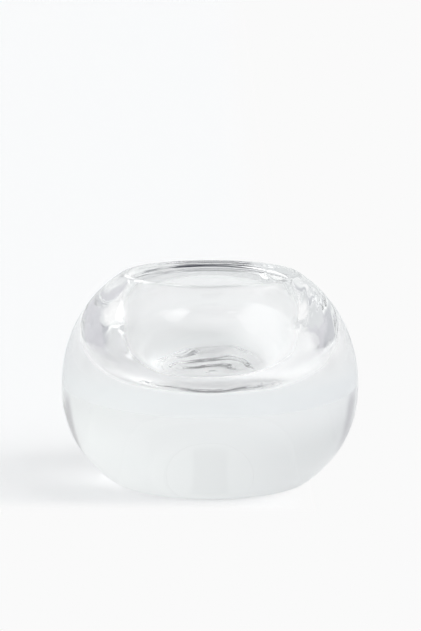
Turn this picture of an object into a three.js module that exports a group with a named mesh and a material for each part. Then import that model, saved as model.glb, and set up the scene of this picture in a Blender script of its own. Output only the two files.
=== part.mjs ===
// Tealight holder: one heavy gather of clear glass, turned as a squat ball with a flat ground foot,
// a round fire-polished lip and a round-cornered well sunk into the upper half of a very thick base.
// Millimetres, +Z up, origin at the centre of the foot, on the table.
import * as THREE from "three";

// Outside
const BELLY_DIAMETER = 100; // widest girth
const BELLY_LEVEL = 32.2; // height of the widest girth above the table
const HEIGHT = 71; // table to the top of the lip
const FOOT_DIAMETER = 64; // where the belly would meet the table if the edge were sharp
const FOOT_EDGE_RADIUS = 6; // polished round between the foot and the belly
const LOWER_FULLNESS = 2.11; // 2 is an ellipse, more is squarer
const UPPER_FULLNESS = 2.17;

// Ground and polished hollow where the working rod was broken off
const PONTIL_DIAMETER = 50;
const PONTIL_DEPTH = 1.6;

// Lip and well
const MOUTH_DIAMETER = 53; // clear opening inside the lip
const LIP_THICKNESS = 4.5; // the lip is a full round
const WELL_DIAMETER = 64; // widest girth of the well
const WELL_LEVEL = 54; // height of that girth above the table
const BASE_THICKNESS = 33.2; // solid glass under the middle of the well
const WELL_FULLNESS = 3.6; // below its girth: a nearly flat floor with a round corner
const WELL_ROOF_FULLNESS = 2; // above its girth, up to the lip

// Facets
const TURNS = 72; // round the axis
const BELLY_STEPS = 14; // each of the lower and upper belly
const LIP_STEPS = 8;
const ROOF_STEPS = 6;
const BOWL_STEPS = 14;
const FOOT_STEPS = 4; // each of the pontil and the polished foot edge

const SEARCH_STEPS = 60; // halvings, when a size is found by closing in on it
const NEAREST_SAMPLES = 400; // points tried along a curve for its nearest one

// Quarter of a superellipse from its girth (angle 0) to its pole (angle a quarter turn).
// rise is signed, so that a negative one runs down from the girth.
function quarterCurve(girthRadius, level, rise, fullness) {
  return (angle) =>
    new THREE.Vector2(
      girthRadius * Math.max(0, Math.cos(angle)) ** (2 / fullness),
      level + rise * Math.max(0, Math.sin(angle)) ** (2 / fullness),
    );
}

// The angle at which a quarter curve comes nearest to a point, and how near.
function nearestOn(curve, point) {
  let best = { angle: 0, distance: Infinity };
  for (let i = 0; i <= NEAREST_SAMPLES; i++) {
    const angle = ((Math.PI / 2) * i) / NEAREST_SAMPLES;
    const distance = curve(angle).distanceTo(point);
    if (distance < best.distance) best = { angle, distance };
  }
  return best;
}

// The value between low and high at which a rising function reaches zero.
function closeIn(low, high, rising) {
  for (let i = 0; i < SEARCH_STEPS; i++) {
    const middle = (low + high) / 2;
    if (rising(middle) > 0) high = middle;
    else low = middle;
  }
  return (low + high) / 2;
}

// Points of a quarter curve from one angle to another, both ends included.
function along(curve, from, to, steps) {
  return Array.from({ length: steps + 1 }, (_, i) =>
    curve(from + ((to - from) * i) / steps),
  );
}

// Points of a circular arc from one angle to another, both ends included.
function arc(centre, radius, from, to, steps) {
  return Array.from({ length: steps + 1 }, (_, i) => {
    const angle = from + ((to - from) * i) / steps;
    return new THREE.Vector2(
      centre.x + radius * Math.cos(angle),
      centre.y + radius * Math.sin(angle),
    );
  });
}

const directionFrom = (centre, point) =>
  Math.atan2(point.y - centre.y, point.x - centre.x);

// Underside: the pontil is a shallow ball-shaped hollow in the middle of the flat foot.
function pontilPoints() {
  const half = PONTIL_DIAMETER / 2;
  const ball = (half ** 2 + PONTIL_DEPTH ** 2) / (2 * PONTIL_DEPTH);
  const centre = new THREE.Vector2(0, PONTIL_DEPTH - ball);
  const edge = directionFrom(centre, new THREE.Vector2(half, 0));
  return arc(centre, ball, Math.PI / 2, edge, FOOT_STEPS);
}

// Lower belly: its depth is set so that it would pass through the sharp edge of the foot.
const bellyRadius = BELLY_DIAMETER / 2;
const footShare = (FOOT_DIAMETER / BELLY_DIAMETER) ** LOWER_FULLNESS;
const lowerDepth = BELLY_LEVEL / (1 - footShare) ** (1 / LOWER_FULLNESS);
const lowerBelly = quarterCurve(bellyRadius, BELLY_LEVEL, -lowerDepth, LOWER_FULLNESS);

// Foot edge: a circle that lies on the table and touches the lower belly from inside.
const footCentreX = closeIn(FOOT_DIAMETER / 4, bellyRadius - FOOT_EDGE_RADIUS, (x) =>
  FOOT_EDGE_RADIUS - nearestOn(lowerBelly, new THREE.Vector2(x, FOOT_EDGE_RADIUS)).distance,
);
const footCentre = new THREE.Vector2(footCentreX, FOOT_EDGE_RADIUS);
const footTouch = nearestOn(lowerBelly, footCentre).angle;

// Lip: a full round that the outside and the well both run into without a corner.
const lipRadius = LIP_THICKNESS / 2;
const lipCentre = new THREE.Vector2(MOUTH_DIAMETER / 2 + lipRadius, HEIGHT - lipRadius);

// A curve of growing rise passes first below the lip's centre and then above it, so the wanted rise
// is the one at which the curve just touches the lip's round on the side asked for.
function riseToTouchLip(girthRadius, level, fullness, side) {
  const room = HEIGHT - level;
  return closeIn(room / 4, room * 6, (rise) => {
    const curve = quarterCurve(girthRadius, level, rise, fullness);
    const near = nearestOn(curve, lipCentre);
    const outward = curve(near.angle).length() > lipCentre.length() ? 1 : -1;
    return outward * near.distance - side * lipRadius;
  });
}

const upperRise = riseToTouchLip(bellyRadius, BELLY_LEVEL, UPPER_FULLNESS, 1);
const upperBelly = quarterCurve(bellyRadius, BELLY_LEVEL, upperRise, UPPER_FULLNESS);
const upperTouch = nearestOn(upperBelly, lipCentre).angle;

const wellRadius = WELL_DIAMETER / 2;
const roofRise = riseToTouchLip(wellRadius, WELL_LEVEL, WELL_ROOF_FULLNESS, -1);
const wellRoof = quarterCurve(wellRadius, WELL_LEVEL, roofRise, WELL_ROOF_FULLNESS);
const roofTouch = nearestOn(wellRoof, lipCentre).angle;
const wellBowl = quarterCurve(wellRadius, WELL_LEVEL, BASE_THICKNESS - WELL_LEVEL, WELL_FULLNESS);

function lipPoints() {
  const from = directionFrom(lipCentre, upperBelly(upperTouch));
  const to = directionFrom(lipCentre, wellRoof(roofTouch));
  const overTheTop = to < from ? to + 2 * Math.PI : to;
  return arc(lipCentre, lipRadius, from, overTheTop, LIP_STEPS);
}

// The half section, from the axis under the foot, up the outside, over the lip and down to the axis.
function halfSection() {
  const belowTable = -Math.PI / 2;
  const footOut = directionFrom(footCentre, lowerBelly(footTouch));
  const stretches = [
    pontilPoints(),
    arc(footCentre, FOOT_EDGE_RADIUS, belowTable, footOut, FOOT_STEPS),
    along(lowerBelly, footTouch, 0, BELLY_STEPS).slice(1),
    along(upperBelly, 0, upperTouch, BELLY_STEPS).slice(1),
    lipPoints().slice(1),
    along(wellRoof, roofTouch, 0, ROOF_STEPS).slice(1),
    along(wellBowl, 0, Math.PI / 2, BOWL_STEPS).slice(1),
  ];
  return stretches.flat();
}

function glassBody() {
  const geometry = new THREE.LatheGeometry(halfSection(), TURNS);
  geometry.rotateX(Math.PI / 2);
  const clearGlass = new THREE.MeshStandardMaterial({
    color: 0xeef3f3,
    roughness: 0.02,
    metalness: 0,
    transparent: true,
    opacity: 0.35,
  });
  const mesh = new THREE.Mesh(geometry, clearGlass);
  mesh.name = "glass_body";
  return mesh;
}

const holder = new THREE.Group();
holder.add(glassBody());

export default holder;
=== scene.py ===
# A squat tealight holder of thick clear glass, standing empty on a white studio sweep.
# Metres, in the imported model's frame: +Z up, the foot's centre at the origin, the camera on the -Y side.
import math

import bpy
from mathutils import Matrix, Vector


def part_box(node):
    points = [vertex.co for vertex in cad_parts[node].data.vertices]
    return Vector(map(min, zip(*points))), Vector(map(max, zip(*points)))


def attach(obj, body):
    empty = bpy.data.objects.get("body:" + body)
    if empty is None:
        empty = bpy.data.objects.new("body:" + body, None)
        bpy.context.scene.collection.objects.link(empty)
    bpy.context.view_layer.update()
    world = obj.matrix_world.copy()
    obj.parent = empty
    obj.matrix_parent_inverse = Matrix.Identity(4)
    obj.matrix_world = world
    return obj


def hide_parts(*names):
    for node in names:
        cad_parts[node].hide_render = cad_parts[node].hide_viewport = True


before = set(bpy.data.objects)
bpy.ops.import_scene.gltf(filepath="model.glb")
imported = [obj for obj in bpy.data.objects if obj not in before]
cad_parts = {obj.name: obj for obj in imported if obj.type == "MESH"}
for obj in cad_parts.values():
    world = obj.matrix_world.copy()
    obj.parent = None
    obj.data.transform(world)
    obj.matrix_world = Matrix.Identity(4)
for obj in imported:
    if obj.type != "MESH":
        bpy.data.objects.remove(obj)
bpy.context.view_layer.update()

scene = bpy.context.scene


# GLASS BODY
# One heavy gather of clear soda-lime glass, blown into a squat ball while it turns on the iron.
# The well is pressed and opened out from the mouth, the lip is fire-polished to a full round, and the
# cold foot is ground flat and polished. It stands loose on the table.
low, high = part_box("glass_body")
BELLY_RADIUS = (high[0] - low[0]) / 2
HEIGHT = high[2]
BELLY_LEVEL = 0.0322
FOOT_RADIUS = 0.032  # where the belly would meet the table if the edge were sharp
FOOT_EDGE_RADIUS = 0.006
LOWER_FULLNESS, UPPER_FULLNESS = 2.11, 2.17  # 2 is an ellipse, more is squarer
PONTIL_RADIUS, PONTIL_DEPTH = 0.025, 0.0016
PONTIL_RUNOUT = 1.3  # above 1, the hollow runs out softly into the foot
MOUTH_RADIUS = 0.0265
LIP_RADIUS = 0.00225
WELL_RADIUS, WELL_LEVEL = 0.032, 0.054
WELL_FULLNESS, WELL_ROOF_FULLNESS = 3.6, 2.0
BASE_THICKNESS = 0.0332

# Facets along the section, crowded toward the lip, where a small step in the glass shows most.
PONTIL_STEPS, FOOT_EDGE_STEPS, LOWER_STEPS, UPPER_STEPS = 84, 12, 36, 56
LIP_STEPS, ROOF_STEPS, BOWL_STEPS = 56, 36, 56
LIP_CROWDING = 1.7
TURNS = 288
HAND_SEED = 11


def quarter_curve(girth, level, rise, fullness):
    """A quarter superellipse, from its girth at angle 0 to its pole at a quarter turn."""
    def point(angle):
        return Vector((girth * max(0.0, math.cos(angle)) ** (2 / fullness),
                       level + rise * max(0.0, math.sin(angle)) ** (2 / fullness)))
    return point


def nearest_on(curve, place, tries=4000):
    """The angle at which a quarter curve comes nearest to a place, and the distance there."""
    angles = [math.pi / 2 * i / tries for i in range(tries + 1)]
    best = min(angles, key=lambda angle: (curve(angle) - place).length)
    return best, (curve(best) - place).length


def close_in(lower, upper, rising, halvings=40):
    """The value at which a rising function reaches zero."""
    for _ in range(halvings):
        middle = (lower + upper) / 2
        if rising(middle) > 0:
            upper = middle
        else:
            lower = middle
    return (lower + upper) / 2


def along(curve, start, end, steps, crowding=1.0):
    """Points of a curve, crowded toward the start when crowding is above 1."""
    return [curve(start + (end - start) * (i / steps) ** crowding) for i in range(steps + 1)]


def arc(centre, radius, start, end, steps):
    """Points of a circle from one angle to another."""
    angles = [start + (end - start) * i / steps for i in range(steps + 1)]
    return [centre + radius * Vector((math.cos(a), math.sin(a))) for a in angles]


def aim(centre, place):
    """The angle at which a place lies, seen from a centre."""
    return math.atan2(place.y - centre.y, place.x - centre.x)


def half_section():
    """The outline from the axis under the foot, up the outside, over the lip and down into the well."""
    pontil = []
    for i in range(PONTIL_STEPS + 1):
        share = i / PONTIL_STEPS
        pontil.append(Vector((PONTIL_RADIUS * share, PONTIL_DEPTH * (1 - share ** 2) ** PONTIL_RUNOUT)))

    foot_share = (FOOT_RADIUS / BELLY_RADIUS) ** LOWER_FULLNESS
    lower_depth = BELLY_LEVEL / (1 - foot_share) ** (1 / LOWER_FULLNESS)
    lower = quarter_curve(BELLY_RADIUS, BELLY_LEVEL, -lower_depth, LOWER_FULLNESS)

    def edge_overlap(x):
        return FOOT_EDGE_RADIUS - nearest_on(lower, Vector((x, FOOT_EDGE_RADIUS)))[1]
    foot_centre = Vector((close_in(FOOT_RADIUS / 2, BELLY_RADIUS - FOOT_EDGE_RADIUS, edge_overlap),
                          FOOT_EDGE_RADIUS))
    foot_touch = nearest_on(lower, foot_centre)[0]

    lip_centre = Vector((MOUTH_RADIUS + LIP_RADIUS, HEIGHT - LIP_RADIUS))

    def rise_to_lip(girth, level, fullness, side):
        def gap(rise):
            curve = quarter_curve(girth, level, rise, fullness)
            angle, distance = nearest_on(curve, lip_centre)
            outward = 1 if curve(angle).length > lip_centre.length else -1
            return outward * distance - side * LIP_RADIUS
        return close_in((HEIGHT - level) / 4, (HEIGHT - level) * 6, gap)

    upper_rise = rise_to_lip(BELLY_RADIUS, BELLY_LEVEL, UPPER_FULLNESS, 1)
    upper = quarter_curve(BELLY_RADIUS, BELLY_LEVEL, upper_rise, UPPER_FULLNESS)
    upper_touch = nearest_on(upper, lip_centre)[0]
    roof_rise = rise_to_lip(WELL_RADIUS, WELL_LEVEL, WELL_ROOF_FULLNESS, -1)
    roof = quarter_curve(WELL_RADIUS, WELL_LEVEL, roof_rise, WELL_ROOF_FULLNESS)
    roof_touch = nearest_on(roof, lip_centre)[0]
    bowl = quarter_curve(WELL_RADIUS, WELL_LEVEL, BASE_THICKNESS - WELL_LEVEL, WELL_FULLNESS)

    lip_from = aim(lip_centre, upper(upper_touch))
    lip_to = aim(lip_centre, roof(roof_touch))
    if lip_to < lip_from:
        lip_to += 2 * math.pi
    foot_out = aim(foot_centre, lower(foot_touch))
    stretches = [
        pontil,
        arc(foot_centre, FOOT_EDGE_RADIUS, -math.pi / 2, foot_out, FOOT_EDGE_STEPS),
        along(lower, foot_touch, 0, LOWER_STEPS)[1:],
        along(upper, upper_touch, 0, UPPER_STEPS, LIP_CROWDING)[-2::-1],
        arc(lip_centre, LIP_RADIUS, lip_from, lip_to, LIP_STEPS)[1:],
        along(roof, roof_touch, 0, ROOF_STEPS, LIP_CROWDING)[1:],
        along(bowl, 0, math.pi / 2, BOWL_STEPS)[1:],
    ]
    return [place for stretch in stretches for place in stretch]


section = bpy.data.meshes.new("glass_section")
outline = half_section()
outline[0].x = outline[-1].x = 0
section.from_pydata([(p.x, 0, p.y) for p in outline], [(i, i + 1) for i in range(len(outline) - 1)], [])
glass_body = bpy.data.objects.new("clear_glass_body", section)
scene.collection.objects.link(glass_body)

# The tree turns the section about the axis, and then leaves the slight unevenness of hand work on it.
turning = bpy.data.node_groups.new("turn_the_section", "GeometryNodeTree")


def tree_input(tree, name, kind, value=None):
    socket = tree.interface.new_socket(name, in_out="INPUT", socket_type=kind)
    if value is not None:
        socket.default_value = value
    return socket


def add(tree, kind, **settings):
    node = tree.nodes.new(kind)
    for name, value in settings.items():
        setattr(node, name, value)
    return node


def feed(tree, socket, source):
    """Joins an output to a socket, or writes a plain value on it."""
    if isinstance(source, bpy.types.NodeSocket):
        tree.links.new(source, socket)
    else:
        socket.default_value = source


def sums(tree, operation, *sources):
    node = add(tree, "ShaderNodeMath", operation=operation)
    for socket, source in zip(node.inputs, sources):
        feed(tree, socket, source)
    return node.outputs[0]


def product(tree, first, *others):
    for other in others:
        first = sums(tree, "MULTIPLY", first, other)
    return first


def vectors(tree, operation, *sources):
    node = add(tree, "ShaderNodeVectorMath", operation=operation)
    for socket, source in zip(node.inputs, sources):
        feed(tree, socket, source)
    return node.outputs["Value" if operation == "LENGTH" else "Vector"]


def parts_of(tree, vector):
    """The x, y and z of a vector."""
    node = add(tree, "ShaderNodeSeparateXYZ")
    feed(tree, node.inputs[0], vector)
    return node.outputs["X"], node.outputs["Y"], node.outputs["Z"]


def ramp(tree, value, start, end):
    """Rises smoothly from 0 to 1 while the value goes from start to end."""
    node = add(tree, "ShaderNodeMapRange", interpolation_type="SMOOTHSTEP")
    for name, source in (("Value", value), ("From Min", start), ("From Max", end)):
        feed(tree, node.inputs[name], source)
    return node.outputs["Result"]


def blend(tree, share, under, over):
    node = add(tree, "ShaderNodeMix", data_type="RGBA")
    for index, source in ((0, share), (6, under), (7, over)):
        feed(tree, node.inputs[index], source)
    return node.outputs[2]


tree_input(turning, "Section", "NodeSocketGeometry")
turns_socket = tree_input(turning, "Turns", "NodeSocketInt", TURNS)
ripple_socket = tree_input(turning, "Wall ripple", "NodeSocketFloat", 0.0)
kink_socket = tree_input(turning, "Lip kink", "NodeSocketFloat", 0.0)
swirl_socket = tree_input(turning, "Pontil waves", "NodeSocketFloat", 0.0)
press_socket = tree_input(turning, "Well waves", "NodeSocketFloat", 0.0)
seed_socket = tree_input(turning, "Seed", "NodeSocketInt", HAND_SEED)
finish_socket = tree_input(turning, "Finish", "NodeSocketMaterial")
turning.interface.new_socket("Body", in_out="OUTPUT", socket_type="NodeSocketGeometry")

# A flat grid, a column for each turn and a row for each point of the section, is wound round the axis.
GRID_SIDE = 1.0
given = add(turning, "NodeGroupInput").outputs
count = add(turning, "GeometryNodeAttributeDomainSize")
feed(turning, count.inputs["Geometry"], given["Section"])
grid = add(turning, "GeometryNodeMeshGrid")
feed(turning, grid.inputs["Size X"], GRID_SIDE)
feed(turning, grid.inputs["Size Y"], GRID_SIDE)
feed(turning, grid.inputs["Vertices X"], sums(turning, "ADD", given["Turns"], 1))
feed(turning, grid.inputs["Vertices Y"], count.outputs["Point Count"])
column, row, _ = parts_of(turning, add(turning, "GeometryNodeInputPosition").outputs[0])
angle = product(turning, sums(turning, "ADD", column, GRID_SIDE / 2), 2 * math.pi)
last = sums(turning, "SUBTRACT", count.outputs["Point Count"], 1)
step = sums(turning, "ROUND", product(turning, sums(turning, "ADD", row, GRID_SIDE / 2), last))
sample = add(turning, "GeometryNodeSampleIndex", data_type="FLOAT_VECTOR", domain="POINT")
feed(turning, sample.inputs["Geometry"], given["Section"])
feed(turning, sample.inputs["Value"], add(turning, "GeometryNodeInputPosition").outputs[0])
feed(turning, sample.inputs["Index"], step)
reach_out, _, stand = parts_of(turning, sample.outputs["Value"])
spun = add(turning, "ShaderNodeCombineXYZ")
feed(turning, spun.inputs["X"], product(turning, reach_out, sums(turning, "COSINE", angle)))
feed(turning, spun.inputs["Y"], product(turning, reach_out, sums(turning, "SINE", angle)))
feed(turning, spun.inputs["Z"], stand)
turned = add(turning, "GeometryNodeSetPosition")
feed(turning, turned.inputs["Geometry"], grid.outputs["Mesh"])
feed(turning, turned.inputs["Position"], spun.outputs[0])

spot_on_body = add(turning, "GeometryNodeInputPosition").outputs[0]
right, back, level = parts_of(turning, spot_on_body)
away = sums(turning, "SQRT", sums(turning, "ADD", product(turning, right, right),
                                  product(turning, back, back)))


def hand_noise(place, scale, detail, shift):
    """Smooth noise from 0 to 1 that follows the tree's seed. The shift sets one noise apart from the next."""
    node = add(turning, "ShaderNodeTexNoise", noise_dimensions="4D")
    seed = sums(turning, "ADD", given["Seed"], shift)
    for name, source in (("Vector", place), ("W", seed), ("Scale", scale), ("Detail", detail)):
        feed(turning, node.inputs[name], source)
    return node.outputs[0]


# Hand polishing leaves the hollow under the foot wavy: a spiral of shallow waves, bent by some noise.
WAVE_REACH, WAVE_FADE = 0.0305, 0.96  # they fade out over the last of their reach
WAVE_DEPTH, WAVE_PITCH, WAVE_BEND, WAVE_NOISE = 0.00060, 0.0088, 14.0, 50.0
UNDERSIDE = BASE_THICKNESS / 4
winding = sums(turning, "ARCTAN2", back, right)
spiral = sums(turning, "MULTIPLY_ADD", away, 2 * math.pi / WAVE_PITCH, winding)
bent = sums(turning, "MULTIPLY_ADD", hand_noise(spot_on_body, WAVE_NOISE, 1.0, 0.0), WAVE_BEND, spiral)
crest = sums(turning, "MULTIPLY_ADD", sums(turning, "SINE", bent), 0.5, 0.5)
under = sums(turning, "LESS_THAN", level, UNDERSIDE)
inside = ramp(turning, away, WAVE_REACH, WAVE_REACH * WAVE_FADE)
raised = add(turning, "ShaderNodeCombineXYZ")
feed(turning, raised.inputs["Z"], product(turning, crest, under, inside, given["Pontil waves"]))
swirled = add(turning, "GeometryNodeSetPosition")
feed(turning, swirled.inputs["Geometry"], turned.outputs[0])
feed(turning, swirled.inputs["Offset"], raised.outputs[0])

# The shoulder keeps the ripples of the wet wood it was shaped with, deeper on the right.
RIPPLE_FROM, RIPPLE_FULL, RIPPLE_EASE, RIPPLE_TO = 0.040, 0.050, 0.0615, 0.0665
RIPPLE_DEPTH, RIPPLE_NOISE = 0.00022, 150.0
RIPPLE_LEFT, RIPPLE_RIGHT, RIPPLE_LEAST = -0.02, 0.035, 0.25
WALL_CLEARANCE = 0.0003
shoulder = product(turning, ramp(turning, level, RIPPLE_FROM, RIPPLE_FULL),
                   ramp(turning, level, RIPPLE_TO, RIPPLE_EASE))
outside = sums(turning, "GREATER_THAN", away, WELL_RADIUS + WALL_CLEARANCE)
rightness = sums(turning, "MULTIPLY_ADD", ramp(turning, right, RIPPLE_LEFT, RIPPLE_RIGHT),
                 1 - RIPPLE_LEAST, RIPPLE_LEAST)
rippled = product(turning, hand_noise(spot_on_body, RIPPLE_NOISE, 0.0, 0.5),
                  shoulder, outside, rightness, given["Wall ripple"])

# The press that opened the well leaves its floor and corner faintly wavy.
PRESSED_FROM, PRESSED_FULL, PRESSED_EASE, PRESSED_TO = 0.0325, 0.0335, 0.050, 0.060
PRESSED_DEPTH, PRESSED_NOISE = 0.00050, (85.0, 85.0, 110.0)
in_well = product(turning, ramp(turning, level, PRESSED_FROM, PRESSED_FULL),
                  ramp(turning, level, PRESSED_TO, PRESSED_EASE), sums(turning, "SUBTRACT", 1.0, outside))
drawn_round = vectors(turning, "MULTIPLY", spot_on_body, PRESSED_NOISE)
pressed = product(turning, hand_noise(drawn_round, 1.0, 0.0, 0.8), in_well, given["Well waves"])

# A short groove on the lip's inner side, at the back right, where the glass was sheared.
KINK_PLACE = (0.0186, 0.0196, 0.0675)
KINK_DEPTH, KINK_WIDTH, KINK_LENGTH = 0.00045, 0.0009, 0.0026
from_kink = vectors(turning, "DIVIDE", vectors(turning, "SUBTRACT", spot_on_body, KINK_PLACE),
                    (KINK_WIDTH, KINK_WIDTH, KINK_LENGTH))
kink_share = vectors(turning, "LENGTH", from_kink)
kinked = product(turning, sums(turning, "EXPONENT", product(turning, kink_share, kink_share, -0.5)),
                 given["Lip kink"])

# These three only take glass away, so they go inward from the surface.
WELD = 1e-6
taken = sums(turning, "ADD", sums(turning, "ADD", rippled, pressed), kinked)
inward = add(turning, "ShaderNodeVectorMath", operation="SCALE")
feed(turning, inward.inputs[0], add(turning, "GeometryNodeInputNormal").outputs[0])
feed(turning, inward.inputs["Scale"], product(turning, taken, -1.0))
welded = add(turning, "GeometryNodeMergeByDistance")
feed(turning, welded.inputs["Geometry"], swirled.outputs[0])
feed(turning, welded.inputs["Distance"], WELD)
worked = add(turning, "GeometryNodeSetPosition")
feed(turning, worked.inputs["Geometry"], welded.outputs[0])
feed(turning, worked.inputs["Offset"], inward.outputs[0])
smooth = add(turning, "GeometryNodeSetShadeSmooth")
feed(turning, smooth.inputs["Geometry"], worked.outputs[0])
realized = add(turning, "GeometryNodeRealizeInstances")
feed(turning, realized.inputs[0], smooth.outputs[0])
finished = add(turning, "GeometryNodeSetMaterial")
feed(turning, finished.inputs["Geometry"], realized.outputs[0])
feed(turning, finished.inputs["Material"], given["Finish"])
feed(turning, add(turning, "NodeGroupOutput").inputs[0], finished.outputs[0])

# Clear glass with faint cords drawn out round the axis, and a foot scuffed where it stands.
CORD_FAINT, CORD_STRONG = (1.0, 1.0, 1.0, 1.0), (0.990, 0.997, 0.995, 1.0)
CORD_SCALE, CORD_FROM, CORD_TO = (25.0, 25.0, 140.0), 0.35, 0.7
SCUFF_ROUGHNESS, SCUFF_SCALE, SCUFF_FROM, SCUFF_TO = 0.04, 1500.0, 0.4, 0.7
SCUFF_HEIGHT, SCUFF_FULL = 0.00012, 0.00002
GLASS_IOR = 1.5
clear_glass = bpy.data.materials.new("clear_glass")
clear_glass.use_nodes = True
glass_tree = clear_glass.node_tree
glass_shader = glass_tree.nodes["Principled BSDF"]
in_glass = add(glass_tree, "ShaderNodeTexCoord").outputs["Object"]
drawn_out = add(glass_tree, "ShaderNodeMapping")
feed(glass_tree, drawn_out.inputs["Vector"], in_glass)
feed(glass_tree, drawn_out.inputs["Scale"], CORD_SCALE)
cords = add(glass_tree, "ShaderNodeTexNoise")
feed(glass_tree, cords.inputs["Vector"], drawn_out.outputs[0])
feed(glass_tree, cords.inputs["Scale"], 1.0)
feed(glass_tree, cords.inputs["Detail"], 2.0)
cord_share = ramp(glass_tree, cords.outputs[0], CORD_FROM, CORD_TO)
feed(glass_tree, glass_shader.inputs["Base Color"], blend(glass_tree, cord_share, CORD_FAINT, CORD_STRONG))
scuffs = add(glass_tree, "ShaderNodeTexNoise")
feed(glass_tree, scuffs.inputs["Vector"], in_glass)
feed(glass_tree, scuffs.inputs["Scale"], SCUFF_SCALE)
on_table = ramp(glass_tree, parts_of(glass_tree, in_glass)[2], SCUFF_HEIGHT, SCUFF_FULL)
scuffed = ramp(glass_tree, scuffs.outputs[0], SCUFF_FROM, SCUFF_TO)
feed(glass_tree, glass_shader.inputs["Roughness"], product(glass_tree, on_table, scuffed, SCUFF_ROUGHNESS))
glass_shader.inputs["Transmission Weight"].default_value = 1.0
glass_shader.inputs["IOR"].default_value = GLASS_IOR

modifier = glass_body.modifiers.new("turn", "NODES")
modifier.node_group = turning
modifier[turns_socket.identifier] = TURNS
modifier[ripple_socket.identifier] = RIPPLE_DEPTH
modifier[kink_socket.identifier] = KINK_DEPTH
modifier[swirl_socket.identifier] = WAVE_DEPTH
modifier[press_socket.identifier] = PRESSED_DEPTH
modifier[seed_socket.identifier] = HAND_SEED
modifier[finish_socket.identifier] = clear_glass
evaluated = glass_body.evaluated_get(bpy.context.evaluated_depsgraph_get())
body_mesh = bpy.data.meshes.new_from_object(evaluated)
glass_body.modifiers.clear()
glass_body.data = body_mesh
body_mesh.name = "clear_glass_body"
bpy.data.meshes.remove(section)
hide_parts("glass_body")
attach(glass_body, "root")


# FLOOR
# The studio's sweep: matt white paper lying flat under the holder and running back out of view.
# The holder's shadow shows on it at the left and behind. At the right and in front, painted white light
# covers the holder's shade where the camera sees the paper. Through the glass, the paper's far part is seen
# with painted shade, a little dimmer at the left.
FLOOR_REACH = 8.0
FLOOR_DROP = 0.00005  # keeps the paper clear of the foot's own face
FLOOR_WHITE = (0.96, 0.96, 0.96, 1.0)
FLOOR_LIFT = 0.108  # lets the lit paper show as white as the part painted white over the holder's shade
# Painted light: an even white glow, seen only by the camera, lies over the paper at the right and in front of
# the holder and hides the holder's shade there.
PAINTED_WHITE_TONE = (0.956, 0.956, 0.956, 1.0)
PAINTED_WHITE_FROM, PAINTED_WHITE_TO = 0.004, 0.034
PAINTED_WHITE_FRONT_FROM, PAINTED_WHITE_FRONT_TO = 0.028, 0.050
# Painted shade and light: as the glass shows it, the paper's far part is painted darker and cooler at the
# left than at the right, and is given a faint glow.
FAR_LEFT, FAR_RIGHT = (0.855, 0.875, 0.890, 1.0), (0.945, 0.965, 0.96, 1.0)
FAR_FROM, FAR_TO, FAR_PAINTED_LIGHT = 0.10, 0.30, 0.033
# Painted light on the paper near the holder and under its foot, seen only through the glass.
BEHIND_PAINTED_LIGHT, BEHIND_FROM, BEHIND_TO = 0.08, 0.12, 0.25
MIDDLE_FROM, MIDDLE_TO = 0.036, 0.066
UNDER_FOOT_PAINTED_LIGHT, UNDER_FROM, UNDER_TO = 0.08, 0.028, 0.037
floor_mesh = bpy.data.meshes.new("paper_sweep")
corners = [(x * FLOOR_REACH, y * FLOOR_REACH, -FLOOR_DROP)
           for x, y in ((-1, -1), (1, -1), (1, 1), (-1, 1))]
floor_mesh.from_pydata(corners, [], [(0, 1, 2, 3)])
floor = bpy.data.objects.new("paper_sweep", floor_mesh)
scene.collection.objects.link(floor)
paper = bpy.data.materials.new("matt_white_paper")
paper.use_nodes = True
sheet = paper.node_tree
paper_shader = sheet.nodes["Principled BSDF"]
paper_shader.inputs["Roughness"].default_value = 1.0
paper_shader.inputs["Specular IOR Level"].default_value = 0.0
paper_shader.inputs["Emission Color"].default_value = (1.0, 1.0, 1.0, 1.0)

spot = add(sheet, "ShaderNodeTexCoord").outputs["Object"]
rightward, backward, _ = parts_of(sheet, spot)
distance = vectors(sheet, "LENGTH", spot)
rays = add(sheet, "ShaderNodeLightPath").outputs
# Painted shade: seen through the glass, the far paper is darker toward the left than toward the right, while
# the camera's own view keeps the even white.
to_the_right = ramp(sheet, sums(sheet, "DIVIDE", rightward, distance), -1.0, 1.0)
painted_far_shade = blend(sheet, to_the_right, FAR_LEFT, FAR_RIGHT)
far_share = product(sheet, ramp(sheet, distance, FAR_FROM, FAR_TO),
                    sums(sheet, "SUBTRACT", 1.0, rays["Is Camera Ray"]))
feed(sheet, paper_shader.inputs["Base Color"], blend(sheet, far_share, FLOOR_WHITE, painted_far_shade))

# Painted light: what the glass shows of the paper behind the holder and under its foot glows brighter, over
# the holder's shade there, as the camera's own view of the paper is lifted to white.
middle = ramp(sheet, sums(sheet, "ABSOLUTE", rightward), MIDDLE_TO, MIDDLE_FROM)
painted_light_behind = product(sheet, middle, ramp(sheet, distance, BEHIND_TO, BEHIND_FROM))
painted_light_under_foot = ramp(sheet, distance, UNDER_TO, UNDER_FROM)
white_lift_and_painted_light = product(sheet, rays["Is Camera Ray"], FLOOR_LIFT)
for share, strength in ((painted_light_behind, BEHIND_PAINTED_LIGHT), (painted_light_under_foot, UNDER_FOOT_PAINTED_LIGHT), (far_share, FAR_PAINTED_LIGHT)):
    seen = product(sheet, rays["Is Transmission Ray"], share)
    white_lift_and_painted_light = sums(sheet, "MULTIPLY_ADD", seen, strength, white_lift_and_painted_light)
feed(sheet, paper_shader.inputs["Emission Strength"], white_lift_and_painted_light)

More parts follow.
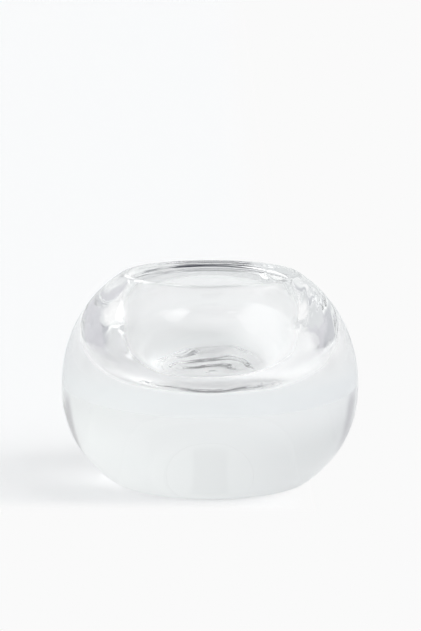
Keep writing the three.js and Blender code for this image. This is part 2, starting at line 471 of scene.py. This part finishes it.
# Painted white light over the holder's shade, for the camera only, at the holder's right and in front of it.
painted_white_over_shade = add(sheet, "ShaderNodeEmission")
feed(sheet, painted_white_over_shade.inputs["Color"], PAINTED_WHITE_TONE)
right_of_it = ramp(sheet, rightward, PAINTED_WHITE_FROM, PAINTED_WHITE_TO)
front_of_it = ramp(sheet, product(sheet, backward, -1.0), PAINTED_WHITE_FRONT_FROM, PAINTED_WHITE_FRONT_TO)
painted_white_share = product(sheet, rays["Is Camera Ray"], sums(sheet, "MAXIMUM", right_of_it, front_of_it))
paper_mix = add(sheet, "ShaderNodeMixShader")
feed(sheet, paper_mix.inputs[0], painted_white_share)
feed(sheet, paper_mix.inputs[1], paper_shader.outputs[0])
feed(sheet, paper_mix.inputs[2], painted_white_over_shade.outputs[0])
feed(sheet, sheet.nodes["Material Output"].inputs["Surface"], paper_mix.outputs[0])
floor_mesh.materials.append(paper)


# STUDIO LIGHT
# A white tent round the table: the world is its wall, brighter where a softbox stands behind the cloth
# and dimmer where a gap or a dark stand shows. A key softbox at the right casts the shadow to the left.
WALL_FOOT_LEFT, WALL_FOOT_RIGHT = (0.805, 0.824, 0.839, 1.0), (0.853, 0.875, 0.869, 1.0)
WALL_LEFT, WALL_RIGHT = (0.634, 0.651, 0.664, 1.0), (0.975, 1.0, 0.993, 1.0)
WALL_FOOT_HEIGHT = math.radians(16)
tent = bpy.data.worlds.new("white_tent")
tent.use_nodes = True
scene.world = tent
sky = tent.node_tree
sky.nodes.clear()
sight_right, sight_back, sight_up = parts_of(sky, add(sky, "ShaderNodeTexCoord").outputs["Generated"])
azimuth = sums(sky, "ARCTAN2", sight_right, product(sky, sight_back, -1.0))
elevation = sums(sky, "ARCSINE", sight_up)


def hang(wall, name, colour, centre, half_size, soft):
    """Lays a soft-edged panel over the tent's wall. Angles in degrees: azimuth 0 is the camera's side,
    90 its right, and elevation counts up from the table."""
    turn = sums(sky, "WRAP", sums(sky, "SUBTRACT", azimuth, math.radians(centre[0])), math.pi, -math.pi)
    climb = sums(sky, "SUBTRACT", elevation, math.radians(centre[1]))
    masks = []
    for offset, half in zip((turn, climb), half_size):
        outer, inner = math.radians(half + soft / 2), math.radians(half - soft / 2)
        masks.append(ramp(sky, sums(sky, "ABSOLUTE", offset), outer, inner))
    panel = blend(sky, product(sky, *masks), wall, (*colour, 1.0))
    panel.node.label = name
    return panel


side = sums(sky, "MULTIPLY_ADD", sight_right, 0.5, 0.5)
foot_of_wall = blend(sky, side, WALL_FOOT_LEFT, WALL_FOOT_RIGHT)
upper_wall = blend(sky, side, WALL_LEFT, WALL_RIGHT)
wall = blend(sky, ramp(sky, elevation, 0.0, WALL_FOOT_HEIGHT), foot_of_wall, upper_wall)
wall = hang(wall, "ceiling", (0.15, 0.15, 0.16), (0, 90), (200, 38), 10)
wall = hang(wall, "camera side, low", (0.66, 0.66, 0.695), (330, 8), (48, 18), 14)
wall = hang(wall, "camera side, right", (0.54, 0.55, 0.58), (33, 10), (22, 9), 14)
wall = hang(wall, "left softbox", (0.97, 0.97, 0.97), (288, 34), (14, 9), 10)
wall = hang(wall, "dark over the camera", (0.0, 0.0, 0.02), (0, 40), (13, 5), 5)
wall = hang(wall, "dark beside the camera", (0.05, 0.05, 0.08), (16, 45), (6, 3), 3)
wall = hang(wall, "gap right of the backdrop", (0.42, 0.42, 0.43), (108.5, 13), (8.5, 10), 9)
wall = hang(wall, "gap left of the backdrop", (0.42, 0.42, 0.45), (247.5, 12), (7.5, 11), 9)
wall = hang(wall, "key softbox", (2.1, 2.1, 2.1), (74, 45), (27, 24), 8)
wall = hang(wall, "shaded corner of the key", (1.0, 1.0, 1.0), (53, 35), (15, 15), 8)
wall = hang(wall, "small overhead softbox", (2.1, 2.1, 2.1), (299.5, 66.5), (13.5, 6), 2)
background = add(sky, "ShaderNodeBackground")
feed(sky, background.inputs["Color"], wall)
feed(sky, add(sky, "ShaderNodeOutputWorld").inputs["Surface"], background.outputs[0])

# Light that the ceiling throws back on the paper. The lamp itself is kept out of what the glass shows.
BOUNCE_AZIMUTH, BOUNCE_ELEVATION = math.radians(60), math.radians(65)
BOUNCE_STRENGTH, BOUNCE_SPREAD = 0.65, math.radians(80)
bounce_light = bpy.data.lights.new("ceiling_bounce", "SUN")
bounce_light.energy = BOUNCE_STRENGTH
bounce_light.angle = BOUNCE_SPREAD
bounce = bpy.data.objects.new("ceiling_bounce", bounce_light)
scene.collection.objects.link(bounce)
from_above = Vector((math.sin(BOUNCE_AZIMUTH) * math.cos(BOUNCE_ELEVATION),
                     -math.cos(BOUNCE_AZIMUTH) * math.cos(BOUNCE_ELEVATION), math.sin(BOUNCE_ELEVATION)))
bounce.rotation_euler = (-from_above).to_track_quat("-Z", "Y").to_euler()
bounce.visible_glossy = False
bounce.visible_transmission = False


# CAMERA
# The photograph's view: a long lens a little above the table, framed with room over the holder.
# Light is followed through many bounces, because in thick glass it turns back on itself again and again.
IMAGE_WIDTH, IMAGE_HEIGHT = 421, 631
AXIS_PIXEL = (210.0, 384.0)
PIXELS_PER_METRE = 2963
CAMERA_ELEVATION = math.radians(10.5)
CAMERA_DISTANCE = 1.1
AIM_HEIGHT = 0.033
GLASS_BOUNCES = 128
lens = bpy.data.cameras.new("studio_camera")
camera = bpy.data.objects.new("studio_camera", lens)
scene.collection.objects.link(camera)
scene.camera = camera
toward = Vector((0, -math.cos(CAMERA_ELEVATION), math.sin(CAMERA_ELEVATION)))
camera.location = Vector((0, 0, AIM_HEIGHT)) + toward * CAMERA_DISTANCE
camera.rotation_euler = (-toward).to_track_quat("-Z", "Y").to_euler()
lens.sensor_fit = "VERTICAL"
lens.sensor_height = 36
lens.lens = lens.sensor_height * CAMERA_DISTANCE * PIXELS_PER_METRE / IMAGE_HEIGHT
lens.shift_x = (IMAGE_WIDTH / 2 - AXIS_PIXEL[0]) / IMAGE_HEIGHT
lens.shift_y = (AXIS_PIXEL[1] - IMAGE_HEIGHT / 2) / IMAGE_HEIGHT
lens.clip_end = 50

scene.view_settings.view_transform = "Standard"
scene.cycles.use_denoising = True
scene.cycles.max_bounces = GLASS_BOUNCES
scene.cycles.transmission_bounces = GLASS_BOUNCES
scene.cycles.glossy_bounces = GLASS_BOUNCES
scene.cycles.blur_glossy = 0.0
